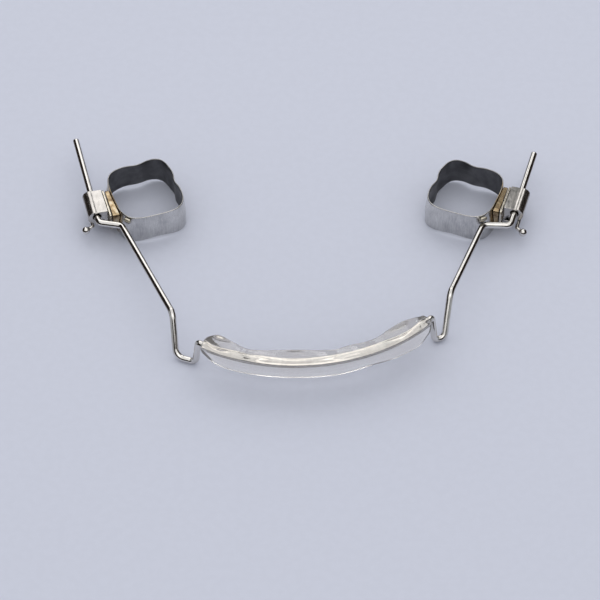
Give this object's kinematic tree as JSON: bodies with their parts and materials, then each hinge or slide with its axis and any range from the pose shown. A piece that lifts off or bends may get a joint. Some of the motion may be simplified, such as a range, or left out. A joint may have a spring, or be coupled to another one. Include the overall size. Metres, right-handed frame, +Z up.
{
  "type": "lip bumper",
  "caption": "Orthodontic lip bumper: a bent steel bow with a clear front shield, its ends sliding in tubes welded to molar bands.",
  "frame": {"origin": "on the bench plane under the middle of the bounding box", "axes": "+X across the arch towards the side with the shorter arm, +Y from the front shield back to the molars, +Z up from the bench, away from the bands' gum edges"},
  "size_m": [0.0648, 0.0448, 0.007],
  "materials": {
    "steel": "polished",
    "band_steel": "satin",
    "tinted_steel": "heat tinted by welding",
    "acrylic": "clear, polished"
  },
  "bodies": {
    "bow": {"labial_bow_wire": "steel", "lip_shield": "acrylic"},
    "left_molar_unit": {"molar_band_left": "band_steel", "seating_lug_left": "steel", "weld_flange_left": "tinted_steel", "buccal_tube_left": "steel", "ball_hook_left": "steel"},
    "right_molar_unit": {"molar_band_right": "band_steel", "seating_lug_right": "steel", "weld_flange_right": "tinted_steel", "buccal_tube_right": "steel", "ball_hook_right": "steel"}
  },
  "joints": [
    {"name": "left_tube_slide", "type": "slide", "parent": "bow", "child": "left_molar_unit", "axis": [-0.2317, 0.9728, 0], "range_m": [0, 0.0162]},
    {"name": "right_tube_slide", "type": "slide", "parent": "bow", "child": "right_molar_unit", "axis": [0.2672, 0.9636, 0], "range_m": [0, 0.0129]}
  ]
}
